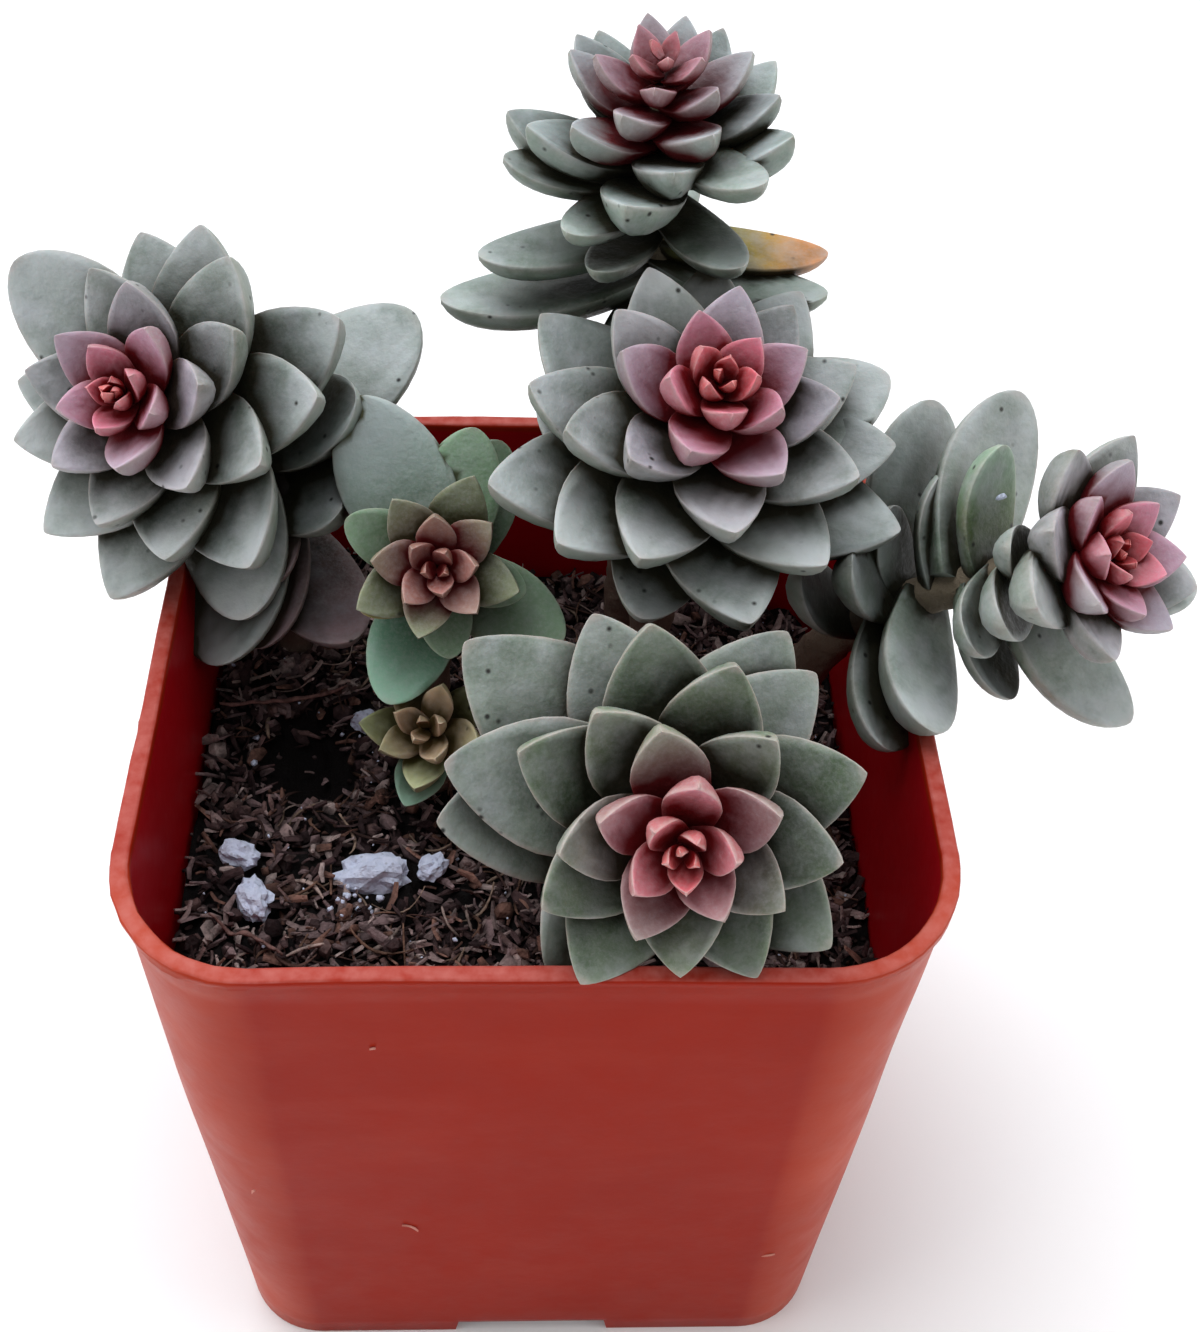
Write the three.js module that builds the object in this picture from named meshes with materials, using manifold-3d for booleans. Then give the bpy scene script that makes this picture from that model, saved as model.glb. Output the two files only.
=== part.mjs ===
// Potted little gem cremnosedum: a square nursery pot of red plastic, potting mix with
// perlite, and seven leafy shoots that each end in a rosette.
// Millimetres. +Z is up, +Y points away from the viewer. Every size and place below is
// counted from the middle of the pot's foot. At the end the plant is moved so that the
// origin is the middle of the whole plant's footprint, at the height of the foot.
import * as THREE from "three";
import { mergeVertices } from "three/addons/utils/BufferGeometryUtils.js";
import Module from "manifold-3d";

const wasm = await Module();
wasm.setup();

// Clear space left between neighbouring pieces
const GAP = 0.3;

// Details smaller than this are smoothed away after cutting
const SLIVER = 0.12;

// The origin is rounded to this step, so that small changes to leaves don't move it
const ORIGIN_STEP = 0.5;

// Pot
const POT = {
  height: 57.8,
  footWidth: 48.1,
  footCorner: 6.5,
  rimWidth: 54,
  rimCorner: 9.6,
  lipHeight: 1.1,
  lipOverhang: 0.4,
  wall: 0.8,
  floorUnder: 2.2,
  floorTop: 3.2,
  notchWidth: 12.5,
  notchHeight: 1.7,
  drainRadius: 2.6,
  drainSpread: 13.5,
  cornerSides: 4,
};

// Soil
const SOIL = {
  level: 42.6,
  fallToRight: 0.14,
  sinkToCentre: 1.2,
  rings: 6,
};

// Perlite grains: middle of each on the soil, and its half sizes
const PERLITE = [
  { at: [-11.7, -8.8], half: [2.7, 1.5, 1.5], turn: 10 },
  { at: [-21.3, -8.4], half: [1.5, 1.1, 1.0], turn: -25 },
  { at: [-19.8, -12.1], half: [1.2, 1.7, 1.1], turn: 20 },
  { at: [-7.6, -8.0], half: [1.2, 0.9, 0.8], turn: 40 },
  { at: [-13.4, 5.9], half: [1.1, 0.8, 0.9], turn: 5 },
];

// Leaf blade, as shares of the leaf's length or of its own width. Bluntness and droop go from
// the value of the innermost leaf towards that of the outer ones.
const LEAF = {
  widthPace: 12,
  neck: 0.6,
  widestAt: 0.52,
  pointPower: 1.65,
  roundPower: 2.2,
  blunt: [0, 0.3, 14],
  bluntTip: 0.45,
  keel: 0.5,
  keelPower: 5,
  thinnest: 0.65,
  droop: [0.07, 0.04, 8],
  tipWidth: 0.4,
  shortest: 1.2,
  stations: [0, 0.45, 0.8, 1],
  smallStations: [0, 0.6, 1],
  smallBelow: 8,
};

// Stem, and the core of each rosette as a share of the leaves around it
const STEM = {
  rootRadius: 1.9,
  topRadius: 1.1,
  sides: 6,
  sections: 7,
  core: 0.3,
  coreSections: 3,
};

// Shoots. The stem leaves the soil at root, runs rise upward and comes to the apex along the
// axis over reach. Leaf number i of the rosette, counted from the innermost, is turned by
// start + i * turn about the stem and sits down[0] + down[1] * i below the apex. Its length
// and its lean from the stem go from the first value towards the last, and each pace is the
// number of leaves that this takes. The first leaves, up to heart, make the coloured heart.
// Old leaves stand singly further down: distance below the apex, turn, lean and length.
// Blade gives the width of the innermost, the outer and the old leaves as a share of their
// length, and how blunt the old ones are, from 0 for pointed to 1 for round.
const SHOOTS = {
  top: {
    root: [7.5, 20, 38], apex: [7.7, 22.3, 91.5], axis: [-0.072, -0.235, 0.969],
    rise: 16, reach: 26, start: 138.7, turn: 139.81,
    length: [1.4, 20.3, 35], lean: [40.5, 69.1, 9.6], down: [0.58, 0.351],
    heart: 17, rosette: 27, blade: [0.6, 0.52, 0.4, 0.8],
    old: [
      [6.6, 305, 75, 11.3], [9.6, 192, 77, 11.4], [9.8, 231, 81, 11], [11.6, 297, 83, 11.3],
      [14.7, 356, 96, 12.5], [16.5, 333, 90, 13.2], [13.3, 200, 90, 13.8], [16.8, 198, 92, 16.5],
      [12.8, 240, 83, 10.4], [15, 80, 92, 12], [19, 250, 95, 11],
    ],
  },
  centre: {
    root: [8, 9, 38], apex: [11.3, 2.8, 80], axis: [0.063, -0.474, 0.878],
    rise: 7.2, reach: 28.6, start: 159, turn: 138.76,
    length: [1.1, 29.3, 51.6], lean: [18.4, 93.2, 16.4], down: [0.57, 0.32],
    heart: 15, rosette: 36, blade: [0.78, 0.57, 0.57, 0.6],
    old: [[9.6, 22, 86, 14.4], [12.6, 252, 90, 12.5], [14, 150, 95, 12]],
  },
  left: {
    root: [-19.5, 13, 40], apex: [-28.4, 7.2, 74.7], axis: [-0.329, -0.706, 0.627],
    rise: 6, reach: 28.6, start: 283.9, turn: -138.77,
    length: [-0.8, 25.8, 41.5], lean: [2, 98.3, 16.8], down: [0.57, 0.274],
    heart: 15, rosette: 36, blade: [0.74, 0.6, 0.6, 0.8],
    old: [
      [6.2, 134, 82, 14.4], [15.2, 33, 96, 17.1], [15.3, 2, 76, 12.3], [12.8, 280, 99, 14.4],
      [16.8, 261, 104, 16.3], [19.3, 270, 112, 14], [15.2, 288, 103, 11.7], [25, 298, 114, 12.8],
      [17.4, 323, 84, 11.9],
    ],
  },
  right: {
    root: [20.5, 10, 35.5], apex: [36.6, -5.8, 73.5], axis: [0.544, -0.513, 0.663],
    rise: 11.5, reach: 30, start: 209.7, turn: -137.15,
    length: [0.8, 17.6, 34.1], lean: [16.3, 86.2, 12.7], down: [1.09, 0.113],
    heart: 16, rosette: 23, blade: [0.8, 0.62, 0.57, 0.85],
    old: [
      [11.2, 107, 69, 9], [15.8, 99, 71, 8.6], [19.6, 176, 64, 9.6], [25.1, 174, 62, 9.2],
      [19.3, 131, 63, 7.8], [18.8, 89, 82, 14.6], [13.4, 78, 80, 14.2], [12.5, 282, 86, 8.4],
      [17.5, 251, 72, 11.8], [20, 254, 82, 12], [8.7, 303, 77, 12.4], [2.9, 351, 82, 9.3],
      [6.1, 180, 70, 7], [7.4, 217, 70, 8.4], [10.6, 234, 76, 7.6],
    ],
  },
  front: {
    root: [4, -9, 37], apex: [7.8, -26.3, 68.7], axis: [-0.102, -0.86, 0.5],
    rise: 7, reach: 22, start: 111.7, turn: -138.99,
    length: [0.9, 21.2, 32.5], lean: [16.8, 86.8, 13.7], down: [0.86, 0.363],
    heart: 14, rosette: 28, blade: [0.66, 0.6, 0.6, 0.3],
    old: [
      [10.5, 169, 88, 14.5], [14, 183, 88, 14.7], [11.6, 43, 93, 12.4], [12.1, 114, 95, 13.2],
      [12.1, 232, 86, 12.8], [12.9, 58, 91, 13.4], [13.2, 140, 95, 16.7],
    ],
  },
  small: {
    root: [-9, 8, 40], apex: [-7, 1.2, 64.9], axis: [0.016, -0.799, 0.6],
    rise: 4.2, reach: 17.2, start: 333.5, turn: -137.66,
    length: [1.4, 13.9, 27.6], lean: [18, 93.8, 10.2], down: [0.58, 0.128],
    heart: 12, rosette: 16, blade: [0.7, 0.6, 0.6, 0.7],
    old: [
      [3.4, 154, 88, 7.1], [7.6, 249, 92, 10.3], [6.1, 76, 87, 10.3], [4.1, 343, 88, 6.4],
      [6, 331, 92, 10.3], [3.5, 210, 85, 6.3], [4.6, 277, 86, 6.6], [6.7, 107, 89, 9],
      [8.8, 66, 84, 10.9], [5.3, 117, 93, 13.5],
    ],
  },
  tiny: {
    root: [-7.6, 1.5, 41], apex: [-8.1, -2.6, 52.8], axis: [-0.2, -0.65, 0.73],
    rise: 4, reach: 5, start: 100, turn: 137.5,
    length: [1.6, 7.5, 9], lean: [15, 85, 8], down: [0.5, 0.3],
    heart: 0, rosette: 12, blade: [0.6, 0.6, 0.66, 0.3],
    old: [[4.2, 250, 87, 5.7]],
  },
};

// Small random differences between leaves
const LEAF_SPREAD = { turn: 2.5, lean: 2.5, length: 0.03 };

// Colours
const COLOURS = {
  pot: "#a8382a",
  soil: "#2b211d",
  perlite: "#d8d3dc",
  leaf: "#7c8c84",
  youngLeaf: "#7f9f88",
  heart: "#b0626c",
};

// Basic solids

/** Random numbers from 0 to 1 that are the same on every run. */
function seededRandom(seed) {
  let state = seed;
  return () => {
    state = (state * 1664525 + 1013904223) % 4294967296;
    return state / 4294967296;
  };
}

/** Move from first to last, fast at the start and slower later. */
function settle([first, last, pace], count) {
  return last - (last - first) * Math.exp(-count / pace);
}

/** Skin a stack of equal rings into one closed geometry, capped at both ends. */
function loft(rings) {
  const size = rings[0].length;
  const points = rings.flat();
  const faces = [];
  for (let ring = 0; ring < rings.length - 1; ring += 1) {
    for (let side = 0; side < size; side += 1) {
      const a = ring * size + side;
      const b = ring * size + ((side + 1) % size);
      faces.push(a, b, b + size, a, b + size, a + size);
    }
  }
  const last = points.length - size;
  for (let side = 1; side < size - 1; side += 1) {
    faces.push(0, side + 1, side);
    faces.push(last, last + side, last + side + 1);
  }
  const geometry = new THREE.BufferGeometry().setFromPoints(points);
  geometry.setIndex(faces);
  return geometry;
}

/** Turn a closed geometry into a solid for cutting and joining. */
function solidOf(geometry) {
  const bare = geometry.clone();
  bare.deleteAttribute("normal");
  bare.deleteAttribute("uv");
  const merged = mergeVertices(bare, 1e-4);
  return new wasm.Manifold(
    new wasm.Mesh({
      numProp: 3,
      vertProperties: Float32Array.from(merged.attributes.position.array),
      triVerts: Uint32Array.from(merged.index.array),
    }),
  );
}

/** Join a list of solids. */
function join(solids) {
  return solids.reduce((whole, solid) => whole.add(solid));
}

/** Keep the largest body, so that loose scraps go and sealed hollows are filled. */
function largestBody(solid) {
  const bodies = solid.simplify(SLIVER).decompose();
  return bodies.reduce((best, body) => (body.volume() > best.volume() ? body : best));
}

/** Wrap a solid as a named mesh. */
function meshOf(name, solid, colour, roughness) {
  const { vertProperties, triVerts } = solid.getMesh();
  const geometry = new THREE.BufferGeometry();
  geometry.setAttribute("position", new THREE.BufferAttribute(vertProperties, 3));
  geometry.setIndex(new THREE.BufferAttribute(triVerts, 1));
  geometry.computeVertexNormals();
  const material = new THREE.MeshStandardMaterial({ color: colour, roughness, metalness: 0 });
  const mesh = new THREE.Mesh(geometry, material);
  mesh.name = name;
  return mesh;
}

// Pot

/** Outline of a square with round corners at one height, counter-clockwise from above. */
function squareRing(width, corner, z) {
  const ring = [];
  const reach = width / 2 - corner;
  for (let quarter = 0; quarter < 4; quarter += 1) {
    const middle = new THREE.Vector2(reach, reach).rotateAround(
      new THREE.Vector2(),
      (quarter * Math.PI) / 2,
    );
    for (let step = 0; step <= POT.cornerSides; step += 1) {
      const angle = ((quarter + step / POT.cornerSides) * Math.PI) / 2;
      ring.push(
        new THREE.Vector3(
          middle.x + corner * Math.cos(angle),
          middle.y + corner * Math.sin(angle),
          z,
        ),
      );
    }
  }
  return ring;
}

/** Outline of the tapered wall at height z, moved inward by inset. */
function wallRing(z, inset) {
  const share = z / POT.height;
  const wallTop = POT.rimWidth - 2 * POT.lipOverhang;
  const width = THREE.MathUtils.lerp(POT.footWidth, wallTop, share) - 2 * inset;
  const corner = THREE.MathUtils.lerp(POT.footCorner, POT.rimCorner - POT.lipOverhang, share);
  return squareRing(width, corner - inset, z);
}

/** Thin-walled pot with its lip, foot notches and drain holes, grown by extra all round. */
function potSolid(extra = 0) {
  const top = POT.height;
  const lipUnder = top - POT.lipHeight;
  const shell = loft([
    wallRing(POT.floorUnder - extra, POT.wall + extra),
    wallRing(0, POT.wall + extra),
    wallRing(0, -extra),
    wallRing(lipUnder - extra, -extra),
    squareRing(POT.rimWidth + 2 * extra, POT.rimCorner + extra, lipUnder - extra),
    squareRing(POT.rimWidth + 2 * extra, POT.rimCorner + extra, top + extra),
    wallRing(top + extra, POT.wall + extra),
    wallRing(POT.floorTop + extra, POT.wall + extra),
  ]);
  let pot = solidOf(shell);
  for (const turn of [0, Math.PI / 2]) {
    const notch = new THREE.BoxGeometry(POT.notchWidth, POT.rimWidth * 2, POT.notchHeight * 2);
    pot = pot.subtract(solidOf(notch.rotateZ(turn)));
  }
  for (const [x, y] of [[0, 0], [1, 1], [-1, 1], [-1, -1], [1, -1]]) {
    const drain = new THREE.CylinderGeometry(POT.drainRadius, POT.drainRadius, 9, 12);
    drain.rotateX(Math.PI / 2);
    drain.translate(x * POT.drainSpread, y * POT.drainSpread, POT.floorTop);
    pot = pot.subtract(solidOf(drain));
  }
  return pot;
}

// Soil

/** Height of the soil's surface, with crumbs as crossed waves. */
function soilHeight(x, y) {
  const middle = 1 - (x * x + y * y) / (POT.rimWidth * POT.rimWidth * 0.5);
  const crumbs =
    0.5 * Math.sin(1.1 * x + 0.6 * y) * Math.cos(0.9 * y - 0.4 * x) +
    0.35 * Math.sin(2.1 * y + 0.5 * x) * Math.sin(1.9 * x + 1);
  return SOIL.level - SOIL.fallToRight * x - SOIL.sinkToCentre * middle + crumbs;
}

/** Soil that fills the pot, with a rough top. */
function soilSolid() {
  const rim = wallRing(SOIL.level, POT.wall + GAP);
  const rings = [wallRing(POT.floorTop + GAP, POT.wall + GAP)];
  for (let ring = 0; ring <= SOIL.rings; ring += 1) {
    const share = 1 - ring / (SOIL.rings + 0.5);
    rings.push(
      rim.map((point) => {
        const x = point.x * share;
        const y = point.y * share;
        return new THREE.Vector3(x, y, soilHeight(x, y));
      }),
    );
  }
  return solidOf(loft(rings));
}

/** One perlite grain: a lumpy stone half sunk in the soil, grown by extra all round. */
function perliteSolid(grain, extra = 0) {
  const stone = new THREE.IcosahedronGeometry(1, 1);
  const position = stone.attributes.position;
  const point = new THREE.Vector3();
  for (let index = 0; index < position.count; index += 1) {
    point.fromBufferAttribute(position, index);
    const lump = 1 + 0.16 * Math.sin(5 * point.x + 3 * point.y) * Math.cos(4 * point.z + point.x);
    point.set(
      point.x * (grain.half[0] * lump + extra),
      point.y * (grain.half[1] * lump + extra),
      point.z * (grain.half[2] * lump + extra),
    );
    position.setXYZ(index, point.x, point.y, point.z);
  }
  stone.rotateZ(THREE.MathUtils.degToRad(grain.turn));
  const [x, y] = grain.at;
  stone.translate(x, y, soilHeight(x, y) + grain.half[2] * 0.35);
  return solidOf(stone);
}

// Shoots

/** Middle line of a shoot's stem, from its root in the soil to its apex. */
function stemCurve(shoot) {
  const root = new THREE.Vector3(...shoot.root);
  const apex = new THREE.Vector3(...shoot.apex);
  const axis = new THREE.Vector3(...shoot.axis).normalize();
  const rootPull = root.clone().add(new THREE.Vector3(0, 0, shoot.rise));
  const apexPull = apex.clone().addScaledVector(axis, -shoot.reach);
  return new THREE.CubicBezierCurve3(root, rootPull, apexPull, apex);
}

/** Point, direction and two cross directions of the stem at a distance down from the apex. */
function stemFrame(curve, down) {
  const share = 1 - down / curve.getLength();
  const along = curve.getTangentAt(share);
  const across = new THREE.Vector3(1, 0, 0).addScaledVector(along, -along.x).normalize();
  const third = new THREE.Vector3().crossVectors(along, across);
  return { point: curve.getPointAt(share), along, across, third };
}

/** Size and place of every leaf of a shoot, from the innermost outward. */
function leafPlans(shoot, seed) {
  const random = seededRandom(seed);
  const wobble = () => 2 * random() - 1;
  const [heartWidth, width, oldWidth, blunt] = shoot.blade;
  const plans = [];
  for (let i = 0; i < shoot.rosette; i += 1) {
    const length = Math.max(settle(shoot.length, i), LEAF.shortest);
    plans.push({
      down: shoot.down[0] + shoot.down[1] * i,
      turn: shoot.start + shoot.turn * i + LEAF_SPREAD.turn * wobble(),
      lean: settle(shoot.lean, i) + LEAF_SPREAD.lean * wobble(),
      length: length * (1 + LEAF_SPREAD.length * wobble()),
      width: settle([heartWidth, width, LEAF.widthPace], i),
      blunt: settle(LEAF.blunt, i),
      droop: settle(LEAF.droop, i),
    });
  }
  for (const [down, turn, lean, length] of shoot.old) {
    plans.push({ down, turn, lean, length, width: oldWidth, blunt, droop: LEAF.droop[1] });
  }
  return plans;
}

/** Half width of a leaf at share u of its length, as a share of its greatest half width. */
function leafOutline(u, blunt) {
  if (u < LEAF.widestAt) {
    return LEAF.neck + (1 - LEAF.neck) * Math.sin((Math.PI / 2) * (u / LEAF.widestAt));
  }
  const past = (u - LEAF.widestAt) / (1 - LEAF.widestAt);
  const pointed = 1 - past ** LEAF.pointPower;
  const rounded = Math.sqrt(1 - past ** LEAF.roundPower);
  return THREE.MathUtils.lerp(pointed, rounded, blunt);
}

/** One leaf on the stem, grown by extra all round. */
function leafSolid(curve, plan, extra) {
  const { point, along, across, third } = stemFrame(curve, plan.down);
  const turn = THREE.MathUtils.degToRad(plan.turn);
  const lean = THREE.MathUtils.degToRad(plan.lean);
  const outward = across.multiplyScalar(Math.cos(turn)).addScaledVector(third, Math.sin(turn));
  const side = new THREE.Vector3().crossVectors(along, outward);
  const forward = outward.multiplyScalar(Math.sin(lean)).addScaledVector(along, Math.cos(lean));
  const up = new THREE.Vector3().crossVectors(forward, side);
  const halfWidth = (plan.length * plan.width) / 2;
  const tipHalf = Math.max(halfWidth * plan.blunt * LEAF.bluntTip, LEAF.tipWidth / 2);
  const stations = plan.length < LEAF.smallBelow ? LEAF.smallStations : LEAF.stations;
  const rings = stations.map((u) => {
    const half = Math.max(halfWidth * leafOutline(u, plan.blunt), tipHalf) + extra;
    const taper = Math.sqrt(1 - u ** LEAF.keelPower);
    const depth = Math.max(halfWidth * 2 * LEAF.keel * taper, LEAF.thinnest) + extra;
    const sag = -plan.length * plan.droop * Math.sin(Math.PI * u);
    const reach = plan.length * u + extra * (2 * u - 1);
    const middle = point.clone().addScaledVector(forward, reach).addScaledVector(up, sag);
    const section = [
      [half, extra],
      [-half, extra],
      [0, -depth],
    ];
    return section.map(([x, y]) => middle.clone().addScaledVector(side, x).addScaledVector(up, y));
  });
  return solidOf(loft(rings));
}

/** Round body along the stem between two distances down from the apex. */
function roundBody(curve, from, to, sections, radiusAt) {
  const rings = [];
  for (let section = 0; section <= sections; section += 1) {
    const down = THREE.MathUtils.lerp(to, from, section / sections);
    const { point, across, third } = stemFrame(curve, down);
    const radius = radiusAt(down);
    const ring = [];
    for (let side = 0; side < STEM.sides; side += 1) {
      const angle = (side / STEM.sides) * 2 * Math.PI;
      ring.push(
        point
          .clone()
          .addScaledVector(across, radius * Math.cos(angle))
          .addScaledVector(third, radius * Math.sin(angle)),
      );
    }
    rings.push(ring);
  }
  return solidOf(loft(rings));
}

/** Bare stem from a distance below the apex down to the root, grown by extra all round. */
function stemSolid(curve, from, extra) {
  const length = curve.getLength();
  const radiusAt = (down) =>
    THREE.MathUtils.lerp(STEM.topRadius, STEM.rootRadius, down / length) + extra;
  return roundBody(curve, from, length, STEM.sections, radiusAt);
}

/** Thick middle that the leaf roots of a rosette are sunk in, grown by extra all round. */
function coreSolid(curve, shoot, from, to, extra) {
  const radiusAt = (down) => {
    const leafThere = settle(shoot.length, (down - shoot.down[0]) / shoot.down[1]);
    return Math.max(STEM.core * leafThere, STEM.topRadius / 2) + extra;
  };
  return roundBody(curve, from, to, STEM.coreSections, radiusAt);
}

/** A shoot as its heart and the rest, both grown by extra all round. */
function shootSolids(shoot, seed, extra = 0) {
  const curve = stemCurve(shoot);
  const plans = leafPlans(shoot, seed);
  const heartStart = plans[0].down;
  const heartEnd = shoot.heart > 0 ? plans[shoot.heart].down : heartStart;
  const rosetteEnd = plans[shoot.rosette - 1].down;
  const rest = plans.slice(shoot.heart).map((plan) => leafSolid(curve, plan, extra));
  rest.push(stemSolid(curve, heartEnd, extra));
  rest.push(coreSolid(curve, shoot, heartEnd, rosetteEnd, extra));
  const heart = plans.slice(0, shoot.heart).map((plan) => leafSolid(curve, plan, extra));
  if (shoot.heart > 0) {
    heart.push(coreSolid(curve, shoot, heartStart, heartEnd + extra, extra));
  }
  return { rest: join(rest), heart: heart.length > 0 ? join(heart) : null };
}

// The whole plant

/** Move the plant so that the origin is the middle of its footprint. */
function centreFootprint(plant) {
  const middle = new THREE.Box3().setFromObject(plant).getCenter(new THREE.Vector3());
  const rounded = (value) => Math.round(value / ORIGIN_STEP) * ORIGIN_STEP;
  plant.position.set(-rounded(middle.x), -rounded(middle.y), 0);
}

/** Pot, soil, perlite and shoots as named meshes, each clear of the others. */
function pottedPlant() {
  const plant = new THREE.Group();
  plant.name = "potted_cremnosedum";
  plant.add(meshOf("pot", potSolid(), COLOURS.pot, 0.45));

  const paddedPot = potSolid(GAP);
  const keepClear = [];
  Object.entries(SHOOTS).forEach(([name, shoot], index) => {
    let { rest, heart } = shootSolids(shoot, index + 1);
    const grown = shootSolids(shoot, index + 1, GAP);
    for (const solid of [paddedPot, ...keepClear]) {
      rest = rest.subtract(solid);
      heart = heart ? heart.subtract(solid) : null;
    }
    if (heart) {
      rest = rest.subtract(grown.heart);
      plant.add(meshOf(`heart_${name}`, largestBody(heart), COLOURS.heart, 0.6));
    }
    const colour = shoot.heart > 7 ? COLOURS.leaf : COLOURS.youngLeaf;
    plant.add(meshOf(`shoot_${name}`, largestBody(rest), colour, 0.65));
    keepClear.push(heart ? grown.rest.add(grown.heart) : grown.rest);
  });

  let soil = soilSolid();
  PERLITE.forEach((grain, index) => {
    soil = soil.subtract(perliteSolid(grain, GAP));
    plant.add(meshOf(`perlite_${index + 1}`, perliteSolid(grain), COLOURS.perlite, 0.9));
  });
  for (const solid of keepClear) {
    soil = soil.subtract(solid);
  }
  plant.add(meshOf("soil", largestBody(soil), COLOURS.soil, 0.95));
  centreFootprint(plant);
  return plant;
}

export default pottedPlant();
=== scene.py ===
import math

import bmesh
import bpy
import numpy as np
from mathutils import Matrix, Vector, noise
from mathutils.bvhtree import BVHTree


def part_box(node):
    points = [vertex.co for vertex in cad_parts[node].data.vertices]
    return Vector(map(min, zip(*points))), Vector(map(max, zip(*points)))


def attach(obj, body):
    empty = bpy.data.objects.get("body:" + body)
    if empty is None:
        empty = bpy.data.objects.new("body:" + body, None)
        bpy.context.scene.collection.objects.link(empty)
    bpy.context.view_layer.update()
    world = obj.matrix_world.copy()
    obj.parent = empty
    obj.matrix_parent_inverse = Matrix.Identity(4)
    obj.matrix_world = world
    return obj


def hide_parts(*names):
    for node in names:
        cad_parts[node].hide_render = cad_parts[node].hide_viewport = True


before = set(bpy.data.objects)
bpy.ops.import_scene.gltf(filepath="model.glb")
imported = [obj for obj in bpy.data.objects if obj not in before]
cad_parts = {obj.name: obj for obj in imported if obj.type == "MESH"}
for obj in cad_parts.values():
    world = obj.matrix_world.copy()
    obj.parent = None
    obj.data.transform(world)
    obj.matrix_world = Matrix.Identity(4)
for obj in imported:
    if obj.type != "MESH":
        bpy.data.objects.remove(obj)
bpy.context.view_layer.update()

MM = 0.001

# Pot
POT = {
    "height": 57.8, "foot_width": 48.1, "foot_corner": 6.5, "rim_width": 54.0, "rim_corner": 9.6,
    "lip_height": 1.1, "lip_overhang": 0.4, "lip_round": 0.28, "wall": 0.8,
    "floor_under": 2.2, "floor_top": 3.2, "notch_share": 0.356, "notch_height": 1.7,
    "drain_radius": 2.6, "drain_spread": 13.5, "drain_cut": (-1, 8), "drain_sides": 28,
    "foot_round": 0.15, "corner_steps": 14, "round_steps": 5, "wall_step": 2.0, "inner_step": 2.5,
}

# Points along a straight side of the pot, as shares of its half length. Two stand close
# together at each edge of a notch.
SIDE = {"first": -0.97, "step": 0.1386, "count": 15, "notch_edge": 0.008}

# Unevenness of the moulding: slow waves of the wall, roughness of the lip, and the rough
# flash round one place on the lip. Each has its number of waves in a millimetre and depth.
WAVE = {"wall": (0.07, 0.35), "lip": (1.3, 0.07), "flash": (2.1, 0.22)}
FLASH = {"at": (-22, -25), "spread": 60}
LIP_RISE, LIP_DROP = 0.6, 0.08

# Burrs on the front of the pot: place across and up, length and turn
NICKS = [
    ((-9.3, 21.5), 1.5, -40), ((18.5, 15.2), 1.2, 15), ((-20.3, 28), 0.5, 60), ((-10.5, 49), 0.4, 20),
]

# Soil
SOIL = {
    "level": 42.6, "fall_to_right": 0.14, "sink_to_centre": 1.2, "gap": 0.3, "rings": 90,
    "corner": 8.5, "crumbs": 2200, "flakes": 5600, "fibres": 450, "specks": 150,
}

# Lumps on the soil's top: depth, number of waves in a millimetre and height of the pattern
LUMPS = [(0.55, 0.9, 0), (0.35, 2.2, 7)]

# Painted shade on a loose bit, darker the lower it lies and lighter where it stands high: brightness
# at the soil's surface, rise with each millimetre, and limits
PAINTED_BIT_LIGHT = {"ground": 0.12, "rise": 1.15, "limits": (0.06, 1.4)}

# Dark hollow between the small shoot and the pot's wall
HOLLOW = {"at": (-17.7, 2), "radius": 4.3, "depth": 2.2}

# Twigs and dry strips on the soil: both ends, width and colour. They lie this far up.
TWIG_LIFT = 1.35
TWIGS = [
    ((-24.2, 5), (-14.9, 8.3), 0.5, "#8a6660"), ((-16.4, 8.2), (-14.7, 9.3), 0.5, "#bda59e"),
    ((-17.2, 18.5), (-19.1, 14.9), 1.1, "#b8aaa4"), ((-21.2, 14.2), (-17.8, 13.4), 0.8, "#a8968c"),
    ((-22.5, -14.5), (-17.4, -16.8), 0.4, "#80605a"), ((9.5, -19.5), (15.5, -21), 0.4, "#6e524c"),
]

# Cluster of the smallest perlite grains
CLUSTER = {"at": (-12.9, -11.4), "spread": 0.9, "count": 22}

# Perlite grains: middle of each on the soil, half sizes and turn. They stand this far out.
PERLITE_LIFT = 0.4
PERLITE = [
    ((-11.7, -8.8), (2.7, 1.5, 1.5), 10), ((-21.3, -8.4), (1.5, 1.1, 1.0), -25),
    ((-19.8, -12.1), (1.2, 1.7, 1.1), 20), ((-7.6, -8.0), (1.2, 0.9, 0.8), 40),
    ((-13.4, 5.9), (1.1, 0.8, 0.9), 5),
]

# Leaf blade, as shares of the leaf's length or of its own width. Width, droop and bluntness
# go from the value of the innermost leaf towards that of the outer ones.
LEAF = {
    "width_pace": 12, "neck": 0.6, "widest_at": 0.52, "point_power": 1.65,
    "round_power": 2.2, "blunt": (0, 0.3, 14), "keel": 0.5, "hollow": 0.03,
    "droop": (0.07, 0.04, 8), "shortest": 1.2, "tip_thickness": 0.5,
}
LEAF_STATIONS = (0, 0.1, 0.2, 0.32, 0.44, 0.54, 0.63, 0.71, 0.79, 0.86, 0.91, 0.95, 0.98, 0.995, 1)
LEAF_ACROSS = (1, 0.97, 0.9, 0.72, 0.48, 0.24, 0)
LEAF_UNDER = (0.97, 0.86, 0.66, 0.35, 0)

STEM = {"root_radius": 1.9, "top_radius": 1.1, "sides": 20, "sections": 70}

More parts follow.
